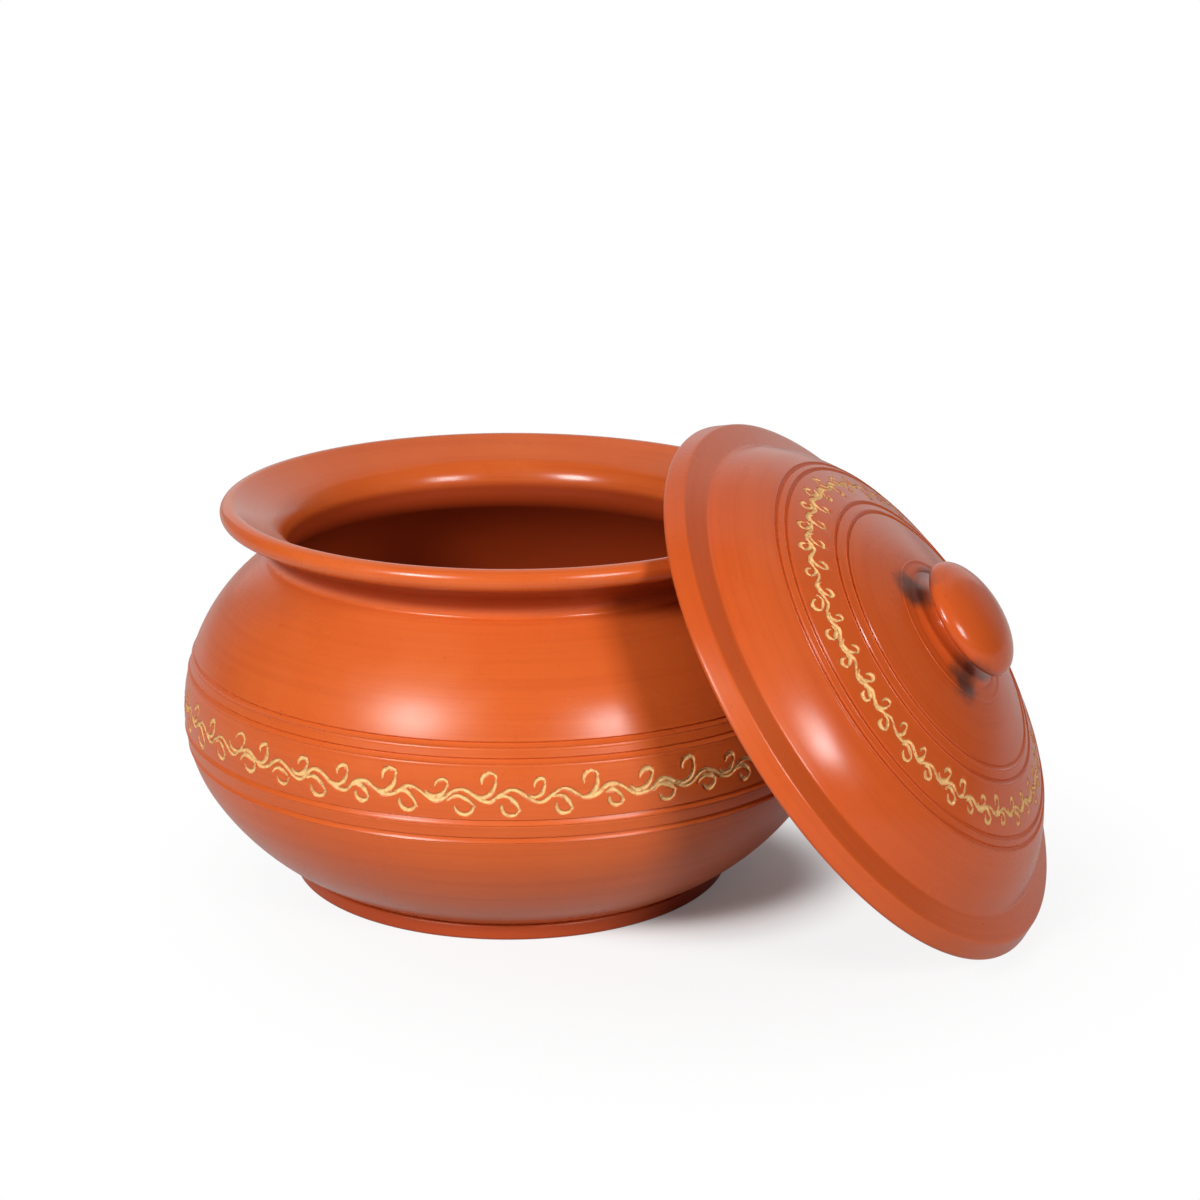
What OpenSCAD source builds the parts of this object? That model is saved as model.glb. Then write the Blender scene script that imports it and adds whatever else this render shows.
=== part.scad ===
// Wheel-thrown lidded cooking bowl with its lid leaning on the rim.
// The origin is the centre of the foot on the ground, +Z is up, and the lid leans towards +X.

/* [Bowl belly] */
// Outer diameter at the widest point
belly_d = 249; // [225:1:280]
// Height of the widest point above the ground
belly_z = 65; // [58:1:72]
// Radius of the round above the widest point
upper_round = 68; // [62:1:76]
// Angle over which that round runs
upper_sweep = 45; // [40:1:52]
// Radius of the flatter curve of the shoulder
shoulder_round = 100; // [85:5:250]
// Radius of the round below the widest point
lower_round = 52; // [46:1:58]
// Angle over which that round runs
lower_sweep = 32; // [28:1:38]
// Radius of the flatter curve down to the foot
base_round = 90; // [80:5:130]
// Thickness of the belly wall
belly_wall = 7; // [5.5:0.5:9]
// Thickness of the floor inside the foot
floor_t = 8; // [6:0.5:11]

/* [Neck and rim] */
// Outer diameter where the shoulder meets the neck
seam_d = 184; // [176:1:192]
// Step in from the shoulder to the neck
crease_step = 1.5; // [0.5:0.25:3]
// Height of the fillet in that step
crease_fillet = 1.5; // [1:0.25:2.5]
// Thickness of the neck
neck_wall = 6; // [5:0.25:8]
// Height of the neck from the shoulder to the underside of the flare
neck_h = 5.85; // [5:0.05:9]
// Radius of the round under the flare
neck_fillet = 5; // [3:0.5:6]
// Rise of the flaring rim from the horizontal
flare_angle = 28; // [24:1:34]
// Reach of the lip beyond the shoulder seam
rim_reach = 13; // [11:0.5:16]
// Radius of the rolled lip
lip_roll = 3.8; // [3.4:0.1:4.4]
// Radius of the round at the throat
throat_round = 12; // [8:0.5:14]

/* [Foot ring] */
// Step out from the base of the belly to the foot ring
foot_step = 1; // [0.25:0.25:3]
// Width of the foot ring
foot_w = 13.5; // [9:0.5:18]
// Height of the foot ring
foot_h = 6; // [5:0.5:10]
// Radius of the rounded lower edges
foot_edge = 1.5; // [0.5:0.25:2.5]

/* [Lid] */
// Overhang of the brim beyond the middle of the lip
brim_over = 4.5; // [3:0.25:7]
// Width of the brim from its edge to the crease where the dome rises
brim_w = 13.5; // [12:0.25:15]
// Thickness of the brim at its edge
brim_t = 6.4; // [5.5:0.1:7.5]
// Rise of the brim from its edge to the crease
brim_rise = 3; // [2:0.1:4]
// Radius of the lower edge of the brim
brim_low_edge = 2; // [1:0.25:2.5]
// Radius of the upper edge of the brim
brim_top_edge = 2; // [1:0.25:2.5]
// Width of the steep shoulder between the crease and the crown
turn_w = 17.5; // [15:0.25:20]
// Height of the dome above the crease
dome_h = 34.4; // [32:0.2:38]
// Radius of the crown of the dome
crown_round = 180; // [170:2:220]
// Thickness of the dome
lid_wall = 7.5; // [6:0.25:9]

/* [Seat ring] */
// Distance from the middle of the lip in to the middle of the ring under the brim
ring_in = 9.5; // [9:0.25:10.5]
// Radius of the rounded ring
ring_roll = 2.5; // [2:0.1:2.8]
// Drop of the ring below the seat
ring_drop = 3; // [2.6:0.1:3.2]
// Depth of the groove that the ring is set into
ring_root = 2.5; // [1.5:0.25:3]

/* [Knob] */
// Diameter of the cap
knob_d = 46; // [40:1:52]
// Height of the widest part of the cap above the dome
knob_lift = 9.3; // [8:0.1:12]
// Rise of the cap above its widest part
knob_rise = 8; // [6:0.25:11]
// Depth of the cap below its widest part
knob_under = 4.2; // [3:0.2:5]
// Diameter of the waist
waist_d = 33; // [28:1:36]
// Diameter of the spread base
base_d = 48; // [42:1:52]
// Diameter of the tenon through the dome
tenon_d = 18; // [14:0.5:22]
// Length of the tenon that stands proud inside
tenon_nub = 2; // [0.5:0.25:4]

/* [Turned grooves] */
// Width of a groove
groove_w = 1.8; // [1.2:0.1:2.4]
// Depth of a groove
groove_depth = 0.7; // [0.4:0.05:0.9]
// Height of the upper pair's top groove above the widest point of the belly
upper_pair_z = 23.8; // [18:0.2:28]
// Spacing of the upper pair
upper_pair_gap = 5.3; // [4:0.1:8]
// Height of the lower pair's top groove above the widest point of the belly
lower_pair_z = -3; // [-6:0.2:4]
// Spacing of the lower pair
lower_pair_gap = 6.7; // [4:0.1:8]
// Distance of the lid's outer pair in from the edge of the crown
outer_pair_in = 0.3; // [0.1:0.1:3]
// Spacing of the outer pair
outer_pair_gap = 3.4; // [2.6:0.1:6]
// Distance of the lid's inner pair in from the edge of the crown
inner_pair_in = 22.2; // [18:0.2:26]
// Spacing of the inner pair
inner_pair_gap = 4.8; // [2.6:0.1:6]

/* [Leaning lid] */
// Lean of the lid from level
lean_tilt = 53.2; // [50:0.2:58]

/* [Fits] */
// Gap between the lip and the ring of the leaning lid
lean_gap = 0.4; // [0.2:0.05:0.8]
// Radial gap between luted parts
lute_gap = 0.15; // [0.05:0.05:0.3]
// Height of the tongues between luted parts
lap = 2.5; // [1.5:0.25:3.5]

/* [Hidden] */
$fn = 96;
arc_steps = 14;
// How far a cut runs past the face it starts from
overcut = 1;
clay = "#c4562b";
dark_clay = "#a94421";

// Points on the stretch from angle a to angle b of an ellipse round c
function oval(c, rx, ry, a, b) =
    [for (i = [0:arc_steps]) let (t = a + (b - a) * i / arc_steps) c + [rx * cos(t), ry * sin(t)]];
// Points on an arc round c from angle a to angle b
function arc(c, r, a, b) = oval(c, r, r, a, b);
function reversed(p) = [for (i = [len(p) - 1:-1:0]) p[i]];
// A list of points without its first, for a stretch that starts where the last one ended
function onward(p) = [for (i = [1:len(p) - 1]) p[i]];
// Unit vector at angle a
function unit(a) = [cos(a), sin(a)];

// Angle on a curve of radius r round c at height z, on the outer side
function angle_at_z(c, r, z) = asin((z - c.y) / r);
// Angle on a curve of radius r round c at radius x from the axis, on the upper side
function angle_at_x(c, r, x) = acos((x - c.x) / r);
// Radius of a curve round c at height z
function reach(c, r, z) = c.x + sqrt(pow(r, 2) - pow(z - c.y, 2));
// Height of a curve round c at radius x
function rise(c, r, x) = c.y + sqrt(pow(r, 2) - pow(x - c.x, 2));

// Centres of the four curves of the belly, each tangent to its neighbour
upper_c = [belly_d / 2 - upper_round, belly_z];
shoulder_c = upper_c + (upper_round - shoulder_round) * unit(upper_sweep);
lower_c = [belly_d / 2 - lower_round, belly_z];
base_c = lower_c + (lower_round - base_round) * unit(-lower_sweep);
upper_end = upper_c.y + upper_round * sin(upper_sweep);
lower_end = lower_c.y - lower_round * sin(lower_sweep);
seam_z = rise(shoulder_c, shoulder_round, seam_d / 2);
floor_z = foot_h + floor_t;

// Outer radius of the belly at height z
function belly_r(z) =
    z > upper_end ? reach(shoulder_c, shoulder_round, z)
    : z > belly_z ? reach(upper_c, upper_round, z)
    : z > lower_end ? reach(lower_c, lower_round, z)
    : reach(base_c, base_round, z);
// Outward angle of the belly at height z
function belly_angle(z) =
    z > upper_end ? angle_at_z(shoulder_c, shoulder_round, z)
    : z > belly_z ? angle_at_z(upper_c, upper_round, z)
    : z > lower_end ? angle_at_z(lower_c, lower_round, z)
    : angle_at_z(base_c, base_round, z);
// Outline of the belly with its curves drawn in by t, from height bottom up to radius top
function belly_curve(t, bottom, top) = concat(
    arc(base_c, base_round - t, angle_at_z(base_c, base_round - t, bottom), -lower_sweep),
    onward(arc(lower_c, lower_round - t, -lower_sweep, 0)),
    onward(arc(upper_c, upper_round - t, 0, upper_sweep)),
    onward(arc(shoulder_c, shoulder_round - t, upper_sweep,
        angle_at_x(shoulder_c, shoulder_round - t, top))));
belly_grooves = [for (z = [upper_pair_z, upper_pair_z - upper_pair_gap,
    lower_pair_z, lower_pair_z - lower_pair_gap]) belly_z + z];

// Foot ring under the base of the belly, and the key on top of it
foot_r = belly_r(foot_h) + foot_step;
foot_bore_r = foot_r - foot_w;
key_in = foot_bore_r + foot_w / 4;
key_out = foot_r - foot_w / 4;

// Neck, and the tongue that stands up from the belly inside it
neck_r = seam_d / 2 - crease_step;
throat_r = neck_r - neck_wall;
tongue_r = throat_r + neck_wall / 2;

// Flare that rises from the neck to the rolled lip
flare_dir = unit(flare_angle);
flare_up = unit(flare_angle + 90);
fillet_tan = tan((90 - flare_angle) / 2);
lip_r = seam_d / 2 + rim_reach;
neck_corner = [neck_r, seam_z + neck_h];
under_lip_x = lip_r - lip_roll * flare_up.x;
under_lip = neck_corner + flare_dir * (under_lip_x - neck_r) / flare_dir.x;
lip_c = under_lip + lip_roll * flare_up;
over_lip = lip_c + lip_roll * flare_up;
throat_corner = over_lip - flare_dir * (over_lip.x - throat_r) / flare_dir.x;
under_round = min(neck_fillet, (neck_h - crease_fillet) / fillet_tan);
under_c = neck_corner + under_round * [1, -fillet_tan];
throat_bend = min(throat_round, (throat_corner.y - seam_z - lap) / fillet_tan);
throat_c = throat_corner + throat_bend * [1, -fillet_tan];

// Dome: the crown, then a tighter round that leaves it at turn_p and runs down through the crease
brim_r = lip_r + brim_over;
crease_p = [brim_r - brim_w, brim_t + brim_rise];
turn_r = crease_p.x - turn_w;
crown_h = crease_p.y + dome_h;
crown_c = [0, crown_h - crown_round];
turn_angle = angle_at_x(crown_c, crown_round, turn_r);
turn_p = crown_c + crown_round * unit(turn_angle);
turn_chord = crease_p - turn_p;
turn_round = -pow(norm(turn_chord), 2) / (2 * turn_chord * unit(turn_angle));
turn_c = turn_p - turn_round * unit(turn_angle);
crease_angle = atan2(crease_p.y - turn_c.y, crease_p.x - turn_c.x);
brim_low_c = [brim_r - brim_low_edge, brim_low_edge];
brim_top_c = [brim_r - brim_top_edge, brim_t - brim_top_edge];
brim_slope = atan2(brim_rise, brim_w);
lid_grooves = [for (d = [outer_pair_in, outer_pair_in + outer_pair_gap,
    inner_pair_in, inner_pair_in + inner_pair_gap]) turn_r - d];

// Seat ring, and the land between it and the inside of the dome
ring_c = [lip_r - ring_in, ring_roll - ring_drop];
ring_in_r = ring_c.x - ring_roll;
ring_out_r = ring_c.x + ring_roll;
inner_end = turn_c + (turn_round - lid_wall) * unit(crease_angle);
land_r = (inner_end.x + ring_in_r) / 2;

// Knob: it stands on a flat turned on the crown
knob_seat = rise(crown_c, crown_round, base_d / 2);
knob_c = [0, knob_seat + knob_lift];
under_angle = acos(waist_d / knob_d);
waist_c = [base_d / 2, knob_c.y - knob_under * sin(under_angle)];
tenon_end = crown_h - lid_wall - tenon_nub;

// Place of the leaning lid: its brim on the ground, its seat ring against the lip
lean_z = (brim_r - brim_low_edge) * sin(lean_tilt) + brim_low_edge * (1 - cos(lean_tilt));
// Radius and height in the lid of the point of the lip at angle a, with the lid at x
function lip_in_lid(a, x) =
    let (dx = lip_c.x * cos(a) - x, dz = lip_c.y - lean_z)
    [norm([dz * sin(lean_tilt) - dx * cos(lean_tilt), lip_c.x * sin(a)]),
     dx * sin(lean_tilt) + dz * cos(lean_tilt)];
// Gap between lip and ring with the lid at x, below zero where the lip is past the ring
function ring_gap(x) =
    let (away = [for (a = [0:0.5:80]) ring_c - lip_in_lid(a, x)],
         far = [for (v = away) norm(v)],
         nearest = min(far),
         side = [for (i = [0:len(far) - 1]) if (far[i] == nearest) sign(away[i].y)][0])
    side * nearest - lip_roll - ring_roll;
// Place between low and high at which that gap is lean_gap, by halving
function lean_at(low, high, steps) =
    steps == 0 ? high
    : let (mid = (low + high) / 2)
      ring_gap(mid) > lean_gap ? lean_at(low, mid, steps - 1) : lean_at(mid, high, steps - 1);
lean_x = lean_at(0, lip_r + brim_r, 24);

module turned(points) {
    rotate_extrude() polygon(points);
}

// Groove turned round the axis, its bottom groove_depth below the surface at p with outward angle a
module turned_groove(p, a) {
    cut_r = (pow(groove_w / 2, 2) + pow(groove_depth, 2)) / (2 * groove_depth);
    rotate_extrude() translate(p + (cut_r - groove_depth) * unit(a)) circle(r = cut_r, $fn = 32);
}

// Slot cut up from height z for a ring between two radii, with the luting gap on both sides
module ring_slot(inner_r, outer_r, z, depth) {
    translate([0, 0, z]) rotate_extrude()
        translate([inner_r - lute_gap, -overcut])
            square([outer_r - inner_r + 2 * lute_gap, depth + overcut]);
}

module leaned() {
    translate([lean_x, 0, lean_z]) rotate([0, lean_tilt, 0]) children();
}

// Round belly with its floor, its turned grooves, a keyway for the foot and a tongue for the neck
module belly() {
    color(clay) difference() {
        turned(concat(
            [[0, foot_h]],
            belly_curve(0, foot_h, seam_d / 2),
            [[tongue_r, seam_z], [tongue_r, seam_z + lap], [throat_r, seam_z + lap]],
            reversed(belly_curve(belly_wall, floor_z, throat_r)),
            [[0, floor_z]]));
        for (z = belly_grooves) turned_groove([belly_r(z), z], belly_angle(z));
        ring_slot(key_in, key_out, foot_h, lap);
    }
}

// Neck with its flaring rim and rolled lip, lapped over the tongue of the belly
module neck_rim() {
    color(clay) turned(concat(
        [[tongue_r + lute_gap, seam_z]],
        oval([seam_d / 2, seam_z + crease_fillet], crease_step, crease_fillet, 270, 180),
        arc(under_c, under_round, 180, 90 + flare_angle),
        arc(lip_c, lip_roll, flare_angle - 90, flare_angle + 90),
        arc(throat_c, throat_bend, 90 + flare_angle, 180),
        [[throat_r, seam_z + lap], [tongue_r + lute_gap, seam_z + lap]]));
}

// Low ring that the bowl stands on, keyed into the base
module foot_ring() {
    color(dark_clay) turned(concat(
        arc([foot_bore_r + foot_edge, foot_edge], foot_edge, 180, 270),
        arc([foot_r - foot_edge, foot_edge], foot_edge, 270, 360),
        [[foot_r, foot_h], [key_out, foot_h], [key_out, foot_h + lap],
         [key_in, foot_h + lap], [key_in, foot_h], [foot_bore_r, foot_h]]));
}

// Domed lid with its brim, bored for the knob and grooved for the seat ring
module lid_dome() {
    color(clay) leaned() difference() {
        turned(concat(
            [[land_r, 0]],
            arc(brim_low_c, brim_low_edge, 270, 360),
            arc(brim_top_c, brim_top_edge, 0, 90 - brim_slope),
            arc(turn_c, turn_round, crease_angle, turn_angle),
            onward(arc(crown_c, crown_round, turn_angle, angle_at_x(crown_c, crown_round, base_d / 2))),
            [[0, knob_seat], [0, crown_h - lid_wall]],
            onward(arc(crown_c, crown_round - lid_wall, 90, turn_angle)),
            onward(arc(turn_c, turn_round - lid_wall, turn_angle, crease_angle))));
        for (r = lid_grooves)
            turned_groove([r, rise(crown_c, crown_round, r)], angle_at_x(crown_c, crown_round, r));
        cylinder(d = tenon_d + 2 * lute_gap, h = crown_h);
        ring_slot(ring_in_r, ring_out_r, 0, ring_root);
    }
}

// Rounded ring under the brim that keeps the lid centred in the mouth
module seat_ring() {
    color(dark_clay) leaned() turned(concat(
        arc(ring_c, ring_roll, 180, 360),
        [[ring_out_r, ring_root], [ring_in_r, ring_root]]));
}

// Mushroom knob, its tenon passed through the dome
module knob() {
    color(clay) leaned() turned(concat(
        [[0, tenon_end], [tenon_d / 2, tenon_end], [tenon_d / 2, knob_seat]],
        oval(waist_c, (base_d - waist_d) / 2, waist_c.y - knob_seat, 270, 180),
        onward(oval(knob_c, knob_d / 2, knob_under, -under_angle, 0)),
        onward(oval(knob_c, knob_d / 2, knob_rise, 0, 90))));
}

belly();
neck_rim();
foot_ring();
lid_dome();
seat_ring();
knob();
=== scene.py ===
from math import acos, asin, atan2, ceil, cos, degrees, hypot, pi, radians, sin, sqrt, tan

import bpy
import numpy as np
from mathutils import Matrix, Vector


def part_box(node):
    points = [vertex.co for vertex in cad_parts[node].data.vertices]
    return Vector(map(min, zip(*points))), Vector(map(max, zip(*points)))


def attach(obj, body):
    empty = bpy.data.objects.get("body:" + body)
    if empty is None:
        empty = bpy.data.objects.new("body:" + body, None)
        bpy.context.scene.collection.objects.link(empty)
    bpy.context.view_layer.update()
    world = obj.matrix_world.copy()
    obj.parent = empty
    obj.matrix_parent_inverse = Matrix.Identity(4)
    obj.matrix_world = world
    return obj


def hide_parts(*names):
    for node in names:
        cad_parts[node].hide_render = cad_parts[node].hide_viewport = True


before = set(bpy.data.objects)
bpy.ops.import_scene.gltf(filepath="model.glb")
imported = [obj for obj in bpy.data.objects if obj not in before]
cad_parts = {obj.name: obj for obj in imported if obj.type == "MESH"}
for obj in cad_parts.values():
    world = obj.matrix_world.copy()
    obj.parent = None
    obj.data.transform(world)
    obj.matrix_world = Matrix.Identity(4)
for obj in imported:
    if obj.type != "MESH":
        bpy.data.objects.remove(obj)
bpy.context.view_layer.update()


# Belly
# The round body is thrown in red clay on a wheel, with its floor, and trimmed when it is leather hard.
# Two pairs of grooves are turned in it, a running vine is cut by hand through the red slip between
# them, and the slip is burnished to a satin gloss before firing.
MM = 0.001
TRACE_STEP, TINY = 0.05, 1e-6


def arc(centre, radius, start, end, step):
    """An arc of a turned outline, in millimetres and degrees, with the spacing of its rows."""
    count = max(2, ceil(abs(radians(end - start)) * radius / TRACE_STEP))
    angles = np.radians(np.linspace(start, end, count + 1))
    return np.array(centre) + radius * np.stack([np.cos(angles), np.sin(angles)], axis=1), step


def oval(centre, reach, height, start, end, step):
    """A stretch of an ellipse of a turned outline."""
    count = max(2, ceil(abs(radians(end - start)) * max(reach, height) / TRACE_STEP))
    angles = np.radians(np.linspace(start, end, count + 1))
    return np.array(centre) + np.stack([reach * np.cos(angles), height * np.sin(angles)], axis=1), step


def straight(start, end, step):
    """A straight stretch of a turned outline."""
    count = max(2, ceil(hypot(end[0] - start[0], end[1] - start[1]) / TRACE_STEP))
    return np.linspace(start, end, count + 1), step


class Template:
    """The outline of a turned piece, walked with the clay on the left, as radius and height. Its ends
    are the places along it where a stretch starts, and at last where the outline ends."""

    def __init__(self, stretches, closed=False):
        self.closed = closed
        points, ends, rows, length = [], [0.0], [], 0.0
        for stretch, step in stretches:
            if points:
                stretch = np.concatenate([[points[-1][-1]], stretch])
            walked = length + np.concatenate([[0.0], np.cumsum(np.hypot(*np.diff(stretch, axis=0).T))])
            count = max(1, ceil((walked[-1] - length) / step))
            rows.extend(np.linspace(length, walked[-1], count + 1)[:-1])
            length = walked[-1]
            points.append(stretch)
            ends.append(length)
        self.points = np.concatenate(points)
        steps = np.hypot(*np.diff(self.points, axis=0).T)
        keep = np.concatenate([[True], steps > TINY])
        self.points = self.points[keep]
        self.along = np.concatenate([[0.0], np.cumsum(np.hypot(*np.diff(self.points, axis=0).T))])
        self.ends = ends
        self.rows = rows if closed else rows + [length]

    def at(self, along):
        """Points and outward directions at places along the outline."""
        spots = np.stack([np.interp(along, self.along, self.points[:, i]) for i in (0, 1)], axis=1)
        ahead = np.stack([np.interp(np.array(along) + TRACE_STEP, self.along, self.points[:, i])
                          - np.interp(np.array(along) - TRACE_STEP, self.along, self.points[:, i])
                          for i in (0, 1)], axis=1)
        ahead /= np.maximum(np.hypot(*ahead.T), 1e-9)[:, None]
        return spots, np.stack([ahead[:, 1], -ahead[:, 0]], axis=1)

    def along_at(self, stretch, axis, value):
        """Place along the outline where a stretch reaches a radius (axis 0) or a height (axis 1)."""
        first, last = self.ends[stretch[0]] - TINY, self.ends[stretch[1]] + TINY
        inside = (self.along >= first) & (self.along <= last)
        level, walked = self.points[inside, axis], self.along[inside]
        order = np.argsort(level)
        return float(np.interp(value, level[order], walked[order]))


# Across a groove, in widths: its floor starts at the raised lip, is deepest at the foot of the steep
# wall and ends at its top, and a second, lower lip stands beyond the first
GROOVE_FLOOR = (-1.0, -0.1, 0.2)
GROOVE_LIP, LIP_PLACE, LIP_SPREAD = 0.2, -1.1, 0.1
LOW_LIP, LOW_LIP_PLACE, LOW_LIP_SPREAD = 0.4, -1.65, 0.12
GROOVE_ROWS = np.array([-2.1, -1.85, -1.65, -1.5, -1.35, -1.22, -1.12, -1.03, -0.9,
                        -0.6, -0.3, -0.1, 0.05, 0.2, 0.4])
ROW_CLEAR, ROW_DIGITS, ROW_MATCH = 0.4, 4, 1e-3
SHARP_EDGE = 50.0


def groove_height(across, depth, width):
    """Height of the surface across a turned groove of a depth and a width."""
    far = across / width
    floor = np.interp(far, GROOVE_FLOOR, [0.0, -depth, 0.0])
    lips = (np.exp(-((far - LIP_PLACE) / LIP_SPREAD) ** 2)
            + LOW_LIP * np.exp(-((far - LOW_LIP_PLACE) / LOW_LIP_SPREAD) ** 2))
    return floor + GROOVE_LIP * width * lips


def turned(name, template, segments, grooves=(), band=None):
    """A turned piece as a closed mesh, with grooves, and a band of finer faces for hand-cut lines: its
    start and end along the outline, the spacing of its rows and how many times finer it is around."""
    cuts = [along + width * GROOVE_ROWS for along, depth, width in grooves]
    spans = [(c[0], c[-1]) for c in cuts]
    if band:
        start, end, step, finer = band
        cuts.append(np.linspace(start, end, ceil((end - start) / step) + 1))
        spans.append((start, end))
    plain = [a for a in template.rows
             if not any(lo - ROW_CLEAR < a < hi + ROW_CLEAR for lo, hi in spans)]
    rows = np.unique(np.round(np.concatenate([plain, *cuts]), ROW_DIGITS))
    spots, outward = template.at(rows)
    for along, depth, width in grooves:
        spots = spots + outward * groove_height(rows - along, depth, width)[:, None]
    points, walked, rings = [], [], []
    for along, (radius, height) in zip(rows, spots):
        fine = band and start - ROW_MATCH <= along <= end + ROW_MATCH
        count = 1 if radius < TINY else segments * (finer if fine else 1)
        angles = np.arange(count) * 2 * pi / count
        rings.append(np.arange(count) + len(walked))
        points.append(np.stack([radius * np.cos(angles), radius * np.sin(angles),
                                np.full(count, height)], axis=1))
        walked.extend([along * MM] * count)
    faces = []
    for low, high in zip(rings, rings[1:] + rings[:1] if template.closed else rings[1:]):
        fewer = min(len(low), len(high))
        if fewer == 1:
            whole, tip = (low, high[0]) if len(high) == 1 else (high, low[0])
            for i in range(len(whole)):
                edge = [whole[i], whole[(i + 1) % len(whole)]]
                faces.append(edge + [tip] if len(high) == 1 else edge[::-1] + [tip])
            continue
        low_share, high_share = len(low) // fewer, len(high) // fewer
        for i in range(fewer):
            bottom = [low[(i * low_share + k) % len(low)] for k in range(low_share + 1)]
            top = [high[(i * high_share + k) % len(high)] for k in range(high_share + 1)]
            faces.append(bottom + top[::-1])
    mesh = bpy.data.meshes.new(name)
    mesh.from_pydata(np.concatenate(points) * MM, [], [list(map(int, f)) for f in faces])
    mesh.attributes.new("along", "FLOAT", "POINT").data.foreach_set("value", walked)
    mesh.shade_smooth()
    mesh.set_sharp_from_angle(angle=radians(SHARP_EDGE))
    piece = bpy.data.objects.new(name, mesh)
    bpy.context.scene.collection.objects.link(piece)
    return piece


def place(tree, kind, inputs=None, **settings):
    """Adds a node to a tree, with its settings and with values or links on its inputs."""
    made = tree.nodes.new(kind)
    for key, value in settings.items():
        setattr(made, key, value)
    for key, value in (inputs or {}).items():
        if isinstance(value, bpy.types.NodeSocket):
            tree.links.new(value, made.inputs[key])
        else:
            made.inputs[key].default_value = value
    return made


def maths(tree, operation, *values):
    """A Math node's result."""
    return place(tree, "ShaderNodeMath", dict(enumerate(values)), operation=operation).outputs[0]


def sloped(tree, value, low, high, to_low=0.0, to_high=1.0):
    """A value eased from one level to another between two marks."""
    return place(tree, "ShaderNodeMapRange", {"Value": value, "From Min": low, "From Max": high,
                 "To Min": to_low, "To Max": to_high}, interpolation_type="SMOOTHSTEP").outputs[0]


def noisy(tree, spot, scale, detail=2.0, roughness=0.5):
    """Smooth noise from 0 to 1 at a spot."""
    return place(tree, "ShaderNodeTexNoise", {"Vector": spot, "Scale": scale, "Detail": detail,
                 "Roughness": roughness}).outputs[0]


def spread(tree, x=0.0, y=0.0, z=0.0):
    """A vector from three values."""
    return place(tree, "ShaderNodeCombineXYZ", {"X": x, "Y": y, "Z": z}).outputs[0]


def distance(tree, spot, mark):
    """How far a spot is from a mark."""
    return place(tree, "ShaderNodeVectorMath", {0: spot, 1: mark}, operation="DISTANCE").outputs["Value"]


def mixed(tree, factor, first, second):
    """A colour between two others."""
    return place(tree, "ShaderNodeMix", {"Factor": factor, 6: first, 7: second},
                 data_type="RGBA").outputs[2]


def stored(tree, shape, name, value):
    """A shape with a number stored on its points under a name."""
    return place(tree, "GeometryNodeStoreNamedAttribute",
                 {"Geometry": shape, "Name": name, "Value": value},
                 data_type="FLOAT", domain="POINT").outputs[0]


def read(tree, name):
    """The number stored on a shape's points under a name."""
    return place(tree, "GeometryNodeInputNamedAttribute", {"Name": name}, data_type="FLOAT").outputs[0]


HOOK_STEPS = 12


def hook(name, strokes):
    """A hook of the vine as smooth strokes in millimetres, along the band and up across it."""
    curve = bpy.data.curves.new(name, "CURVE")
    for points in strokes:
        stroke = curve.splines.new("BEZIER")
        stroke.bezier_points.add(len(points) - 1)
        stroke.resolution_u = HOOK_STEPS
        for knot, (x, y) in zip(stroke.bezier_points, points):
            knot.co = (x * MM, y * MM, 0)
            knot.handle_left_type = knot.handle_right_type = "AUTO"
    made = bpy.data.objects.new(name, curve)
    bpy.context.scene.collection.objects.link(made)
    return made


UPPER_HOOK = hook("upper_hook", [
    [(-3.4, 0.8), (-1.2, -0.5), (1.6, 0.2), (3.5, 2.4), (4.1, 4.9)],
    [(4.5, 4.7), (3.5, 6.4), (1.6, 6.6), (0.0, 5.4), (-0.4, 3.6)],
])
LOWER_HOOK = hook("lower_hook", [
    [(-4.2, -1.6), (-1.5, -0.2), (1.4, -1.3), (4.2, -4.0)],
    [(3.7, -3.4), (2.8, -5.4), (0.6, -6.2), (-1.5, -5.1), (-2.2, -3.3)],
])
WAVE_POINTS, DOT_GAP = 24.0, 0.2 * MM
DRIFT_SCALE, DRIFT_ALONG, DRIFT_UP = 9.0, 2.2, 2.0
STEM_WIDTH = 0.95
HOOK_SLIP, HOOK_LIFT, HOOK_TILT = 0.7 * MM, 0.5 * MM, 0.36
HOOK_SMALL, HOOK_LARGE = 0.8, 1.15
# Two marks along a hook's stroke and its width at each, where the blade goes in and where it comes out
BLADE_IN, BLADE_OUT = (0.0, 0.4, 0.4, 1.15), (0.6, 1.0, 0.0, 0.75)
PRESS_SCALE, PRESS_SPAN, PRESS_LEAST = 130.0, 1.5, 0.25
RAGGED_SCALE, RAGGED_DETAIL, RAGGED_SPAN = 700.0, 3.0, 0.7 * MM
# Distances from the edge of a stroke between which the floor falls, and the burr rises and ends
FLOOR_FALL = (0.1 * MM, -0.5 * MM)
BURR_RISE, BURR_END, BURR_SCALE = (0.7 * MM, 0.15 * MM), (0.15 * MM, -0.2 * MM), 400.0


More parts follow.
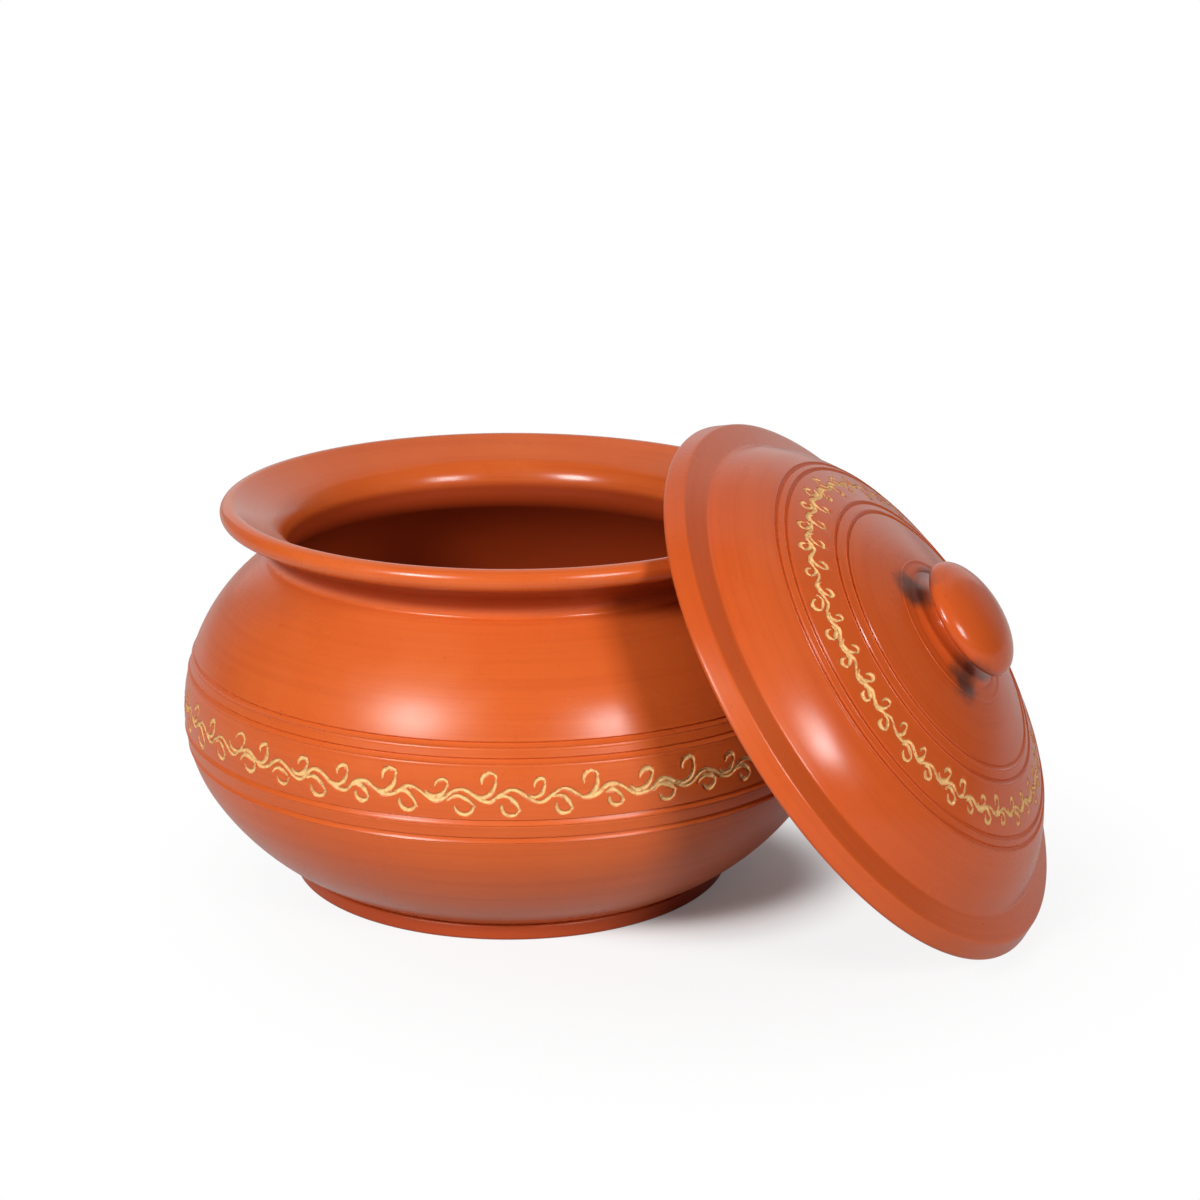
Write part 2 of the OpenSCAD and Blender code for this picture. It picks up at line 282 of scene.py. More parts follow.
def vine_tree():
    """Geometry nodes that lay a running vine round a turned piece and cut it into the surface."""
    tree = bpy.data.node_groups.new("hand_cut_vine", "GeometryNodeTree")
    socket = tree.interface.new_socket
    socket("Geometry", in_out="INPUT", socket_type="NodeSocketGeometry")
    for name in ("Upper hook", "Lower hook"):
        socket(name, in_out="INPUT", socket_type="NodeSocketObject")
    for name in ("Waves", "Seed"):
        socket(name, in_out="INPUT", socket_type="NodeSocketInt")
    for name in ("First valley", "Band radius", "Band middle", "Stem rise", "Hook length", "Hook height",
                 "Half stroke", "Depth", "Burr"):
        socket(name, in_out="INPUT", socket_type="NodeSocketFloat")
    socket("Material", in_out="INPUT", socket_type="NodeSocketMaterial")
    socket("Geometry", in_out="OUTPUT", socket_type="NodeSocketGeometry")
    given = place(tree, "NodeGroupInput").outputs
    radius, waves, stroke = given["Band radius"], given["Waves"], given["Half stroke"]
    pitch = maths(tree, "DIVIDE", 2 * pi, waves)
    position = place(tree, "GeometryNodeInputPosition").outputs[0]
    apart = place(tree, "ShaderNodeSeparateXYZ", {0: position}).outputs

    # The stem is a wave round the band, a little uneven
    half_way = maths(tree, "MULTIPLY", radius, pi)
    line = place(tree, "GeometryNodeCurvePrimitiveLine", {
        "Start": spread(tree, maths(tree, "MULTIPLY", half_way, -1.0)), "End": spread(tree, half_way)})
    line = place(tree, "GeometryNodeResampleCurve", {
        "Curve": line.outputs[0], "Count": maths(tree, "MULTIPLY", waves, WAVE_POINTS)}, mode="COUNT")
    angle = maths(tree, "DIVIDE", apart[0], radius)
    round_spot = spread(tree, maths(tree, "COSINE", angle), maths(tree, "SINE", angle), given["Seed"])
    drift = maths(tree, "SUBTRACT", noisy(tree, round_spot, DRIFT_SCALE), 0.5)
    phase = maths(tree, "MULTIPLY", maths(tree, "SUBTRACT", angle, given["First valley"]), waves)
    wave = maths(tree, "COSINE", maths(tree, "ADD", phase, maths(tree, "MULTIPLY", drift, DRIFT_ALONG)))
    height = maths(tree, "MULTIPLY", given["Stem rise"],
                   maths(tree, "SUBTRACT", maths(tree, "MULTIPLY", drift, DRIFT_UP), wave))
    stem = place(tree, "GeometryNodeSetPosition", {
        "Geometry": line.outputs[0], "Position": spread(tree, apart[0], height)})
    stem = stored(tree, stem.outputs[0], "half_width", maths(tree, "MULTIPLY", stroke, STEM_WIDTH))

    # A hook curls up out of each valley, and another down from each crest
    strokes = [stem]
    index = place(tree, "GeometryNodeInputIndex").outputs[0]
    for number, (source, shift) in enumerate((("Upper hook", 0.0), ("Lower hook", 0.5))):
        start = maths(tree, "MULTIPLY_ADD", pitch, shift, given["First valley"])
        first = maths(tree, "FLOORED_MODULO", maths(tree, "ADD", start, pi), pitch)
        first = maths(tree, "SUBTRACT", first, maths(tree, "ADD", pitch, pi))
        spots = place(tree, "GeometryNodeMeshLine", {
            "Count": maths(tree, "ADD", waves, 2.0),
            "Start Location": spread(tree, maths(tree, "MULTIPLY", first, radius)),
            "Offset": spread(tree, maths(tree, "MULTIPLY", pitch, radius))})
        which = maths(tree, "FLOORED_MODULO", index, waves)

        def chance(low, high, seed, which=which, number=number):
            """A random number for each hook, the same for the first and the last that overlap."""
            seeded = maths(tree, "ADD", given["Seed"], float(seed + 10 * number))
            made = place(tree, "FunctionNodeRandomValue", {"ID": which, "Seed": seeded}, data_type="FLOAT")
            for socket_in, level in zip([s for s in made.inputs if s.type == "VALUE"], (low, high)):
                socket_in.default_value = level
            return [s for s in made.outputs if s.type == "VALUE"][0]

        shifted = place(tree, "GeometryNodeSetPosition", {
            "Geometry": spots.outputs[0],
            "Offset": spread(tree, chance(-HOOK_SLIP, HOOK_SLIP, 1), chance(-HOOK_LIFT, HOOK_LIFT, 2))})
        shape = place(tree, "GeometryNodeObjectInfo", {"Object": given[source]}).outputs["Geometry"]
        along = place(tree, "GeometryNodeSplineParameter").outputs[0]
        swell = maths(tree, "SUBTRACT", sloped(tree, along, *BLADE_IN), sloped(tree, along, *BLADE_OUT))
        shape = stored(tree, shape, "half_width", maths(tree, "MULTIPLY", stroke, swell))
        size = chance(HOOK_SMALL, HOOK_LARGE, 3)
        placed = place(tree, "GeometryNodeInstanceOnPoints", {
            "Points": shifted.outputs[0], "Instance": shape,
            "Rotation": spread(tree, z=chance(-HOOK_TILT, HOOK_TILT, 4)),
            "Scale": spread(tree, maths(tree, "MULTIPLY", given["Hook length"], size),
                            maths(tree, "MULTIPLY", given["Hook height"], size), 1.0)})
        strokes.append(placed.outputs[0])
    joined = place(tree, "GeometryNodeJoinGeometry")
    for part in strokes:
        tree.links.new(part, joined.inputs[0])
    real = place(tree, "GeometryNodeRealizeInstances", {0: joined.outputs[0]})
    dots = place(tree, "GeometryNodeCurveToPoints", {"Curve": real.outputs[0], "Length": DOT_GAP},
                 mode="LENGTH").outputs[0]

    # Each point of the surface is cut by its distance to the nearest stroke on the unrolled band
    around = maths(tree, "MULTIPLY", maths(tree, "ARCTAN2", apart[1], apart[0]), radius)
    unrolled = spread(tree, around, maths(tree, "SUBTRACT", read(tree, "along"), given["Band middle"]))
    nearest = place(tree, "GeometryNodeSampleNearest", {"Geometry": dots, "Sample Position": unrolled},
                    domain="POINT").outputs[0]

    def at_nearest(value, kind):
        """A value at the nearest dot of a stroke."""
        return place(tree, "GeometryNodeSampleIndex", {"Geometry": dots, "Value": value, "Index": nearest},
                     data_type=kind, domain="POINT").outputs[0]

    press = maths(tree, "MULTIPLY_ADD", noisy(tree, position, PRESS_SCALE), PRESS_SPAN, PRESS_LEAST)
    width = maths(tree, "MULTIPLY", at_nearest(read(tree, "half_width"), "FLOAT"), press)
    gap = distance(tree, unrolled, at_nearest(position, "FLOAT_VECTOR"))
    ragged = maths(tree, "MULTIPLY_ADD", noisy(tree, position, RAGGED_SCALE, RAGGED_DETAIL),
                   RAGGED_SPAN, -RAGGED_SPAN / 2)
    cut = maths(tree, "ADD", maths(tree, "SUBTRACT", gap, width), ragged)
    floor = sloped(tree, cut, *FLOOR_FALL)
    burr = maths(tree, "MULTIPLY", sloped(tree, cut, *BURR_RISE),
                 maths(tree, "SUBTRACT", 1.0, sloped(tree, cut, *BURR_END)))
    burr = maths(tree, "MULTIPLY", burr, noisy(tree, position, BURR_SCALE))
    lift = maths(tree, "SUBTRACT", maths(tree, "MULTIPLY", burr, given["Burr"]),
                 maths(tree, "MULTIPLY", floor, given["Depth"]))
    outward = place(tree, "GeometryNodeInputNormal").outputs[0]
    offset = place(tree, "ShaderNodeVectorMath", {0: outward, "Scale": lift}, operation="SCALE").outputs[0]
    carved = stored(tree, given["Geometry"], "cut", cut)
    carved = place(tree, "GeometryNodeSetPosition", {"Geometry": carved, "Offset": offset})
    carved = place(tree, "GeometryNodeRealizeInstances", {0: carved.outputs[0]})
    carved = place(tree, "GeometryNodeSetMaterial", {
        "Geometry": carved.outputs[0], "Material": given["Material"]})
    place(tree, "NodeGroupOutput", {0: carved.outputs[0]})
    return tree


VINE = vine_tree()


def cut_vine(piece, **sizes):
    """Runs the vine tree on a piece and keeps the result as its plain mesh."""
    modifier = piece.modifiers.new("vine", "NODES")
    modifier.node_group = VINE
    values = {key.replace("_", " "): value for key, value in sizes.items()}
    values.update({"Upper hook": UPPER_HOOK, "Lower hook": LOWER_HOOK})
    for item in VINE.interface.items_tree:
        if item.in_out == "INPUT" and item.name in values:
            modifier[item.identifier] = values[item.name]
    graph = bpy.context.evaluated_depsgraph_get()
    mesh = bpy.data.meshes.new_from_object(piece.evaluated_get(graph), preserve_all_data_layers=True,
                                           depsgraph=graph)
    mesh.name = piece.name
    piece.modifiers.remove(modifier)
    piece.data = mesh


CLAY = (0.60, 0.104, 0.019, 1)
DARK_CLAY = (0.47, 0.066, 0.012, 1)
PALE_CLAY = (0.66, 0.140, 0.032, 1)
# Matt clay for the recesses, dark as painted shade under the lip and inside the bowl
MATT_CLAY_IN_PAINTED_SHADE = (0.34, 0.042, 0.008, 1)
SOOT = (0.045, 0.032, 0.028, 1)
OCHRE = (0.80, 0.49, 0.20, 1)
SHADED_OCHRE = (0.54, 0.22, 0.07, 1)
ROUND_SCALE, FINE_LINES, BROAD_LINES, LINE_DETAIL = 9.0, 1100.0, 230.0, 3.0
GRAIN_SCALE, GRAIN_SHARE, FINE_SHARE = 1300.0, 0.3, 0.35


def wheel_marks_group():
    """Fine lines left by the wheel and the burnishing stone, running round a turned piece."""
    tree = bpy.data.node_groups.new("wheel_marks", "ShaderNodeTree")
    tree.interface.new_socket("Along", in_out="INPUT", socket_type="NodeSocketFloat")
    for name in ("Line height", "Streak"):
        tree.interface.new_socket(name, in_out="OUTPUT", socket_type="NodeSocketFloat")
    along = place(tree, "NodeGroupInput").outputs["Along"]
    spot = place(tree, "ShaderNodeTexCoord").outputs["Object"]
    apart = place(tree, "ShaderNodeSeparateXYZ", {0: spot}).outputs
    flat = [maths(tree, "MULTIPLY", apart[i], ROUND_SCALE) for i in (0, 1)]
    rising = [maths(tree, "MULTIPLY", along, scale) for scale in (FINE_LINES, BROAD_LINES)]
    fine, broad = [noisy(tree, spread(tree, *flat, up), 1.0, LINE_DETAIL) for up in rising]
    grain = noisy(tree, spot, GRAIN_SCALE)
    lines = maths(tree, "MULTIPLY_ADD", fine, FINE_SHARE, broad)
    place(tree, "NodeGroupOutput", {
        "Line height": maths(tree, "MULTIPLY_ADD", grain, GRAIN_SHARE, lines),
        "Streak": maths(tree, "MULTIPLY_ADD", fine, 0.5, maths(tree, "MULTIPLY", broad, 0.5))})
    return tree


# Two marks on a pattern, and the share of the other clay at each
PALE_CLOUDS = (0.42, 0.72, 0.0, 0.5)
DARK_STREAKS = (0.56, 0.36, 0.0, 0.25)
DARK_SPECKS = (0.70, 0.78, 0.0, 0.4)
CLOUD_SCALE, CLOUD_DETAIL, CLOUD_CRISP = 14.0, 4.0, 0.6
SPECK_SCALE, SPECK_DETAIL = 620.0, 1.0


def kiln_tone_group():
    """The uneven red of fired slip: broad clouds, small specks and the streaks of the wheel."""
    tree = bpy.data.node_groups.new("kiln_tone", "ShaderNodeTree")
    for name in ("Clay", "Dark clay", "Pale clay"):
        tree.interface.new_socket(name, in_out="INPUT", socket_type="NodeSocketColor")
    tree.interface.new_socket("Streak", in_out="INPUT", socket_type="NodeSocketFloat")
    tree.interface.new_socket("Color", in_out="OUTPUT", socket_type="NodeSocketColor")
    tree.interface.new_socket("Cloud", in_out="OUTPUT", socket_type="NodeSocketFloat")
    given = place(tree, "NodeGroupInput").outputs
    spot = place(tree, "ShaderNodeTexCoord").outputs["Object"]
    cloud = noisy(tree, spot, CLOUD_SCALE, CLOUD_DETAIL, CLOUD_CRISP)
    speck = noisy(tree, spot, SPECK_SCALE, SPECK_DETAIL)
    tone = mixed(tree, sloped(tree, cloud, *PALE_CLOUDS), given["Clay"], given["Pale clay"])
    tone = mixed(tree, sloped(tree, given["Streak"], *DARK_STREAKS), tone, given["Dark clay"])
    tone = mixed(tree, sloped(tree, speck, *DARK_SPECKS), tone, given["Dark clay"])
    place(tree, "NodeGroupOutput", {"Color": tone, "Cloud": cloud})
    return tree


WHEEL_MARKS = wheel_marks_group()
KILN_TONE = kiln_tone_group()
CLAY_SPECULAR, MARK_HEIGHT = 0.32, 0.4 * MM
CLOUD_MARKS, CLOUD_SMOOTHER, CLOUD_ROUGHER = (0.3, 0.75), 0.05, 0.08
SMOKE_SCALE, SMOKE_DETAIL, SMOKE_RAGGED, SMOKE_CORE = 160.0, 3.0, 8 * MM, 0.25
RECESS_SOFT, RECESS_ROUGH = 2.0 * MM, 0.12
CUT_EDGE, CUT_ROUGH = (0.1 * MM, -0.12 * MM), 0.45
CUT_GRAIN, CUT_DETAIL, CUT_SHADES = 700.0, 3.0, (0.55, 0.3, 0.0, 0.7)
TRENCH_EDGE, TRENCH_GRAIN, TRENCH_BUMP, TRENCH_HEIGHT = (0.1 * MM, -0.3 * MM), 0.3, 0.8, 0.45 * MM


def burnished_clay(name, carved=False, smoke=(), recesses=(), shade=(1, 1, 1), roughness=0.28, bump=0.05):
    """Red slip burnished to a satin gloss, with cut lines that show paler clay, smoke marks, and
    recesses along the outline that the burnishing stone doesn't reach, matt and darkened with painted
    shade."""
    material = bpy.data.materials.new(name)
    material.use_nodes = True
    tree = material.node_tree
    shader = tree.nodes["Principled BSDF"]
    shader.inputs["Specular IOR Level"].default_value = CLAY_SPECULAR
    spot = place(tree, "ShaderNodeTexCoord").outputs["Object"]
    along = place(tree, "ShaderNodeAttribute", attribute_name="along").outputs["Fac"]
    marks = place(tree, "ShaderNodeGroup", {"Along": along}, node_tree=WHEEL_MARKS)
    # A piece's shade scales its clays, for its own tone and for painted shade
    clays = {"Clay": CLAY, "Dark clay": DARK_CLAY, "Pale clay": PALE_CLAY}
    clays = {key: [*np.multiply(clay[:3], shade), 1] for key, clay in clays.items()}
    tone = place(tree, "ShaderNodeGroup", {**clays, "Streak": marks.outputs["Streak"]},
                 node_tree=KILN_TONE)
    colour = tone.outputs["Color"]
    rough = sloped(tree, tone.outputs["Cloud"], *CLOUD_MARKS,
                   roughness - CLOUD_SMOOTHER, roughness + CLOUD_ROUGHER)
    for centre, size, depth in smoke:
        ragged = maths(tree, "MULTIPLY_ADD", noisy(tree, spot, SMOKE_SCALE, SMOKE_DETAIL),
                       SMOKE_RAGGED, -SMOKE_RAGGED / 2)
        near = maths(tree, "ADD", distance(tree, spot, centre), ragged)
        mask = sloped(tree, near, size, SMOKE_CORE * size, 0.0, depth)
        colour = mixed(tree, mask, colour, SOOT)
    # Painted shade: each recess is darkened towards the matt clay, and made rougher
    for start, end in recesses:
        into = sloped(tree, along, start * MM - RECESS_SOFT, start * MM + RECESS_SOFT)
        out_of = sloped(tree, along, end * MM + RECESS_SOFT, end * MM - RECESS_SOFT)
        mask = maths(tree, "MULTIPLY", into, out_of)
        colour = mixed(tree, mask, colour, MATT_CLAY_IN_PAINTED_SHADE)
        rough = maths(tree, "MULTIPLY_ADD", mask, RECESS_ROUGH, rough)
    dent = place(tree, "ShaderNodeBump", {"Height": marks.outputs["Line height"], "Strength": bump,
                 "Distance": MARK_HEIGHT})
    if carved:
        cut = place(tree, "ShaderNodeAttribute", attribute_name="cut").outputs["Fac"]
        mask = sloped(tree, cut, *CUT_EDGE)
        grain = noisy(tree, spot, CUT_GRAIN, CUT_DETAIL)
        pale = mixed(tree, sloped(tree, grain, *CUT_SHADES), OCHRE, SHADED_OCHRE)
        colour = mixed(tree, mask, colour, pale)
        rough = maths(tree, "MULTIPLY_ADD", mask, CUT_ROUGH, rough)
        scratches = maths(tree, "MULTIPLY", grain, maths(tree, "MULTIPLY", mask, TRENCH_GRAIN))
        trench = maths(tree, "SUBTRACT", scratches, sloped(tree, cut, *TRENCH_EDGE))
        dent = place(tree, "ShaderNodeBump", {"Height": trench, "Strength": TRENCH_BUMP,
                     "Distance": TRENCH_HEIGHT, "Normal": dent.outputs[0]})
    tree.links.new(colour, shader.inputs["Base Color"])
    tree.links.new(rough, shader.inputs["Roughness"])
    tree.links.new(dent.outputs[0], shader.inputs["Normal"])
    return material


belly_lo, belly_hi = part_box("belly")
BELLY_R = belly_hi.x / MM
FOOT_H = belly_lo.z / MM
LAP = 2.5
SEAM_Z = belly_hi.z / MM - LAP
WIDEST_Z = 65.0
UPPER_ROUND, UPPER_SWEEP = 68.0, 45.0
LOWER_ROUND, LOWER_SWEEP = 52.0, 32.0
SHOULDER_ROUND, BASE_ROUND = 100.0, 90.0
SEAM_R, NECK_R, THROAT_R = 92.0, 90.5, 84.5
TONGUE_R = (NECK_R + THROAT_R) / 2
BELLY_WALL, FLOOR_T = 7.0, 8.0


def turn(angle):
    """Unit step in a direction given in degrees."""
    return np.array([cos(radians(angle)), sin(radians(angle))])


upper_c = np.array([BELLY_R - UPPER_ROUND, WIDEST_Z])
shoulder_c = upper_c + (UPPER_ROUND - SHOULDER_ROUND) * turn(UPPER_SWEEP)
lower_c = np.array([BELLY_R - LOWER_ROUND, WIDEST_Z])
base_c = lower_c + (LOWER_ROUND - BASE_ROUND) * turn(-LOWER_SWEEP)


def shoulder_angle(radius):
    """Where the round of the shoulder reaches a radius, in degrees."""
    return degrees(acos((radius - shoulder_c[0]) / SHOULDER_ROUND))


def base_angle(height):
    """Where the round of the base reaches a height, in degrees."""
    return degrees(asin((height - base_c[1]) / BASE_ROUND))


floor_z = FOOT_H + FLOOR_T
FLOOR_FILLET = 30.0
floor_reach = BASE_ROUND - BELLY_WALL - FLOOR_FILLET
floor_fillet_z = floor_z + FLOOR_FILLET
floor_turn = degrees(asin((floor_fillet_z - base_c[1]) / floor_reach))
floor_fillet_c = base_c + floor_reach * turn(floor_turn)
THROAT_FILLET = 9.0
inner_round = SHOULDER_ROUND - BELLY_WALL
throat_fillet_r = THROAT_R + THROAT_FILLET
throat_fillet_z = shoulder_c[1] + sqrt((inner_round + THROAT_FILLET) ** 2
                                       - (throat_fillet_r - shoulder_c[0]) ** 2)
throat_fillet_c = np.array([throat_fillet_r, throat_fillet_z])
throat_turn = degrees(atan2(*(throat_fillet_c - shoulder_c)[::-1]))
belly_outline = Template([
    straight((0, FOOT_H), base_c + BASE_ROUND * turn(base_angle(FOOT_H)), 12),
    arc(base_c, BASE_ROUND, base_angle(FOOT_H), -LOWER_SWEEP, 4),
    arc(lower_c, LOWER_ROUND, -LOWER_SWEEP, 0, 2.5),
    arc(upper_c, UPPER_ROUND, 0, UPPER_SWEEP, 2.5),
    arc(shoulder_c, SHOULDER_ROUND, UPPER_SWEEP, shoulder_angle(SEAM_R), 4),
    straight((SEAM_R, SEAM_Z), (TONGUE_R, SEAM_Z), 5),
    straight((TONGUE_R, SEAM_Z), (TONGUE_R, SEAM_Z + LAP), 5),
    straight((TONGUE_R, SEAM_Z + LAP), (THROAT_R, SEAM_Z + LAP), 5),
    straight((THROAT_R, SEAM_Z + LAP), (THROAT_R, throat_fillet_z), 1),
    arc(throat_fillet_c, THROAT_FILLET, 180, 180 + throat_turn, 0.7),
    arc(shoulder_c, inner_round, throat_turn, UPPER_SWEEP, 4),
    arc(upper_c, UPPER_ROUND - BELLY_WALL, UPPER_SWEEP, 0, 4),
    arc(lower_c, LOWER_ROUND - BELLY_WALL, 0, -LOWER_SWEEP, 4),
    arc(base_c, BASE_ROUND - BELLY_WALL, -LOWER_SWEEP, floor_turn, 6),
    arc(floor_fillet_c, FLOOR_FILLET, floor_turn, -90, 4),
    straight((floor_fillet_c[0], floor_z), (0, floor_z), 12),
])
BELLY_OUTSIDE, BELLY_INSIDE = (1, 5), (7, -1)
BELLY_SEGMENTS, BELLY_BAND_STEP, BELLY_BAND_FINER = 288, 0.46, 5
BELLY_GROOVE_HEIGHTS = (55.3, 62.0, 83.5, 88.8)
BELLY_GROOVE_DEPTH, BELLY_GROOVE_W = 0.7, 1.6
belly_grooves = [(belly_outline.along_at(BELLY_OUTSIDE, 1, z), BELLY_GROOVE_DEPTH, BELLY_GROOVE_W)
                 for z in BELLY_GROOVE_HEIGHTS]
BELLY_VINE_R, BELLY_VINE_Z, BELLY_VINE_REACH = 124.2, 71.0, 7.6
belly_vine = belly_outline.along_at(BELLY_OUTSIDE, 1, BELLY_VINE_Z)
belly_band = (belly_vine - BELLY_VINE_REACH, belly_vine + BELLY_VINE_REACH,
              BELLY_BAND_STEP, BELLY_BAND_FINER)
belly = turned("bowl_belly", belly_outline, BELLY_SEGMENTS, belly_grooves, belly_band)
# The inside of the bowl is matt, and darkened with painted shade
belly_inside = [belly_outline.ends[i] for i in BELLY_INSIDE]
belly_clay = burnished_clay("burnished_belly", carved=True, recesses=[belly_inside])
cut_vine(belly, Waves=44, Seed=3, First_valley=radians(-78.4), Band_radius=BELLY_VINE_R * MM,
         Band_middle=belly_vine * MM, Stem_rise=2.1 * MM, Hook_length=1.0, Hook_height=1.0,
         Half_stroke=0.72 * MM, Depth=0.7 * MM, Burr=0.16 * MM, Material=belly_clay)
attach(belly, "bowl")
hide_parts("belly")


# Neck and rim
# The short neck with its flaring rim is thrown as a ring, set over the tongue of the belly with slip
# and smoothed into the shoulder. Its edge is rolled into a round lip and burnished all over.
RIM_SEGMENTS = 384
rim_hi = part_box("neck_rim")[1]
LIP_ROLL, FLARE = 3.8, 28.0
lip_c = np.array([rim_hi.x / MM - LIP_ROLL, rim_hi.z / MM - LIP_ROLL])
NECK_FILLET, THROAT_ROUND, SHOULDER_FILLET = 8.0, 12.0, 1.2
NECK_SKIN_R = 91.5
LUTE_GAP = 0.15
half_bend = tan(radians((90 - FLARE) / 2))
under_lip = lip_c + LIP_ROLL * turn(FLARE - 90)
over_lip = lip_c + LIP_ROLL * turn(FLARE + 90)
neck_corner_z = under_lip[1] - (under_lip[0] - NECK_SKIN_R) * tan(radians(FLARE))
throat_corner_z = over_lip[1] - (over_lip[0] - THROAT_R) * tan(radians(FLARE))
under_c = np.array([NECK_SKIN_R + NECK_FILLET, neck_corner_z - NECK_FILLET * half_bend])
throat_c = np.array([THROAT_R + THROAT_ROUND, throat_corner_z - THROAT_ROUND * half_bend])
crease_r = NECK_SKIN_R + SHOULDER_FILLET
crease_turn = degrees(acos((crease_r - shoulder_c[0]) / (SHOULDER_ROUND + SHOULDER_FILLET)))
crease_c = shoulder_c + (SHOULDER_ROUND + SHOULDER_FILLET) * turn(crease_turn)
rim_outline = Template([
    straight((TONGUE_R + LUTE_GAP, SEAM_Z), (SEAM_R, SEAM_Z), 5),
    arc(shoulder_c, SHOULDER_ROUND, shoulder_angle(SEAM_R), crease_turn, 0.6),
    arc(crease_c, SHOULDER_FILLET, crease_turn - 180, -180, 0.2),
    straight((NECK_SKIN_R, crease_c[1]), (NECK_SKIN_R, under_c[1]), 0.4),
    arc(under_c, NECK_FILLET, 180, 90 + FLARE, 0.5),
    straight(under_c + NECK_FILLET * turn(90 + FLARE), under_lip, 2),
    arc(lip_c, LIP_ROLL, FLARE - 90, FLARE + 90, 0.5),
    straight(over_lip, throat_c + THROAT_ROUND * turn(90 + FLARE), 2),
    arc(throat_c, THROAT_ROUND, 90 + FLARE, 180, 0.8),
    straight((THROAT_R, throat_c[1]), (THROAT_R, SEAM_Z + LAP), 2),
    straight((THROAT_R, SEAM_Z + LAP), (TONGUE_R + LUTE_GAP, SEAM_Z + LAP), 5),
    straight((TONGUE_R + LUTE_GAP, SEAM_Z + LAP), (TONGUE_R + LUTE_GAP, SEAM_Z), 5),
], closed=True)
rim = turned("bowl_neck_rim", rim_outline, RIM_SEGMENTS)
RIM_NECK, RIM_LIP, RIM_THROAT = 3, 6, 9
UNDER_RIM_START, UNDER_RIM_END, THROAT_OVER = 2.0, 1.0, 1.0
under_rim = (rim_outline.ends[RIM_NECK] + UNDER_RIM_START, rim_outline.ends[RIM_LIP] - UNDER_RIM_END)
throat = (rim_outline.ends[RIM_THROAT] - THROAT_OVER, rim_outline.ends[-1])
# The neck under the lip and the throat are matt, and darkened with painted shade
rim.data.materials.append(burnished_clay("burnished_rim", recesses=[under_rim, throat], roughness=0.22))
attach(rim, "bowl")
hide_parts("neck_rim")


# Foot ring
# A low ring of clay is keyed and luted to the base when the bowl is turned over on the wheel.
# Its lower edges are rounded off with a wet leather, its thin slip is a little duller, and painted shade
# darkens it.
foot_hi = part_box("foot_ring")[1]
FOOT_W, FOOT_EDGE, FOOT_STEP = 13.5, 1.5, 1.0
FOOT_R = base_c[0] + BASE_ROUND * cos(radians(base_angle(FOOT_H))) + FOOT_STEP
foot_bore = FOOT_R - FOOT_W
key_in, key_out, key_top = foot_bore + FOOT_W / 4, FOOT_R - FOOT_W / 4, foot_hi.z / MM
foot_outline = Template([
    arc((foot_bore + FOOT_EDGE, FOOT_EDGE), FOOT_EDGE, 180, 270, 0.4),
    straight((foot_bore + FOOT_EDGE, 0), (FOOT_R - FOOT_EDGE, 0), 3),
    arc((FOOT_R - FOOT_EDGE, FOOT_EDGE), FOOT_EDGE, 270, 360, 0.4),
    straight((FOOT_R, FOOT_EDGE), (FOOT_R, FOOT_H - FOOT_STEP), 2),
    arc((FOOT_R - FOOT_STEP, FOOT_H - FOOT_STEP), FOOT_STEP, 0, 90, 0.3),
    straight((FOOT_R - FOOT_STEP, FOOT_H), (key_out, FOOT_H), 5),
    straight((key_out, FOOT_H), (key_out, key_top), 5),
    straight((key_out, key_top), (key_in, key_top), 8),
    straight((key_in, key_top), (key_in, FOOT_H), 5),
    straight((key_in, FOOT_H), (foot_bore, FOOT_H), 5),
    straight((foot_bore, FOOT_H), (foot_bore, FOOT_EDGE), 3),
], closed=True)
# Painted shade: the foot's clay is darkened for the shadow under the belly
FOOT_SEGMENTS, FOOT_PAINTED_SHADE = 320, (0.68, 0.53, 0.5)
foot = turned("bowl_foot_ring", foot_outline, FOOT_SEGMENTS)
foot.data.materials.append(burnished_clay("burnished_foot", shade=FOOT_PAINTED_SHADE, roughness=0.4, bump=0.1))
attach(foot, "bowl")
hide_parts("foot_ring")


# Lid dome
# The lid is thrown upside down as a wide dome with a flat brim, then turned over and trimmed.
# It carries two pairs of grooves with the same vine between them, and the fire has left two
# smoky marks beside the knob. Here it leans on the lip of the bowl with its brim on the ground.
LEAN_TILT = radians(53.2)
LIP_R = lip_c[0]
BRIM_OVER, BRIM_W, TURN_W, DOME_H = 4.5, 13.5, 17.5, 34.4
BRIM_R = LIP_R + BRIM_OVER
BRIM_T, BRIM_EDGE, BRIM_RISE, BRIM_LEAN = 7.0, 1.1, 2.4, 2.6
CREASE_R, CREASE_Z = BRIM_R - BRIM_W, BRIM_T + BRIM_RISE
TURN_R = CREASE_R - TURN_W
CROWN_H, CROWN_ROUND, LID_WALL = CREASE_Z + DOME_H, 180.0, 7.5
# The wall breaks from the crown by a few degrees at the outermost groove
CREASE_FILLET, WALL_BREAK = 1.6, 4.0
KNOB_BASE_R, TENON_R = 24.0, 9.0
RING_IN, RING_ROLL, RING_ROOT = 9.5, 2.5, 2.5
RING_MID = LIP_R - RING_IN
crown_c = np.array([0.0, CROWN_H - CROWN_ROUND])
turn_angle = degrees(acos(TURN_R / CROWN_ROUND))
turn_p = crown_c + CROWN_ROUND * turn(turn_angle)
wall_angle = turn_angle - WALL_BREAK
chord = np.array([CREASE_R, CREASE_Z]) - turn_p
turn_round = -(chord @ chord) / (2 * chord @ turn(wall_angle))
turn_c = turn_p - turn_round * turn(wall_angle)
crease_angle = degrees(atan2(CREASE_Z - turn_c[1], CREASE_R - turn_c[0]))
brim_slope = degrees(atan2(BRIM_RISE, BRIM_R - CREASE_R))
brim_dir = turn(180 - brim_slope)
brim_up = turn(90 - brim_slope)
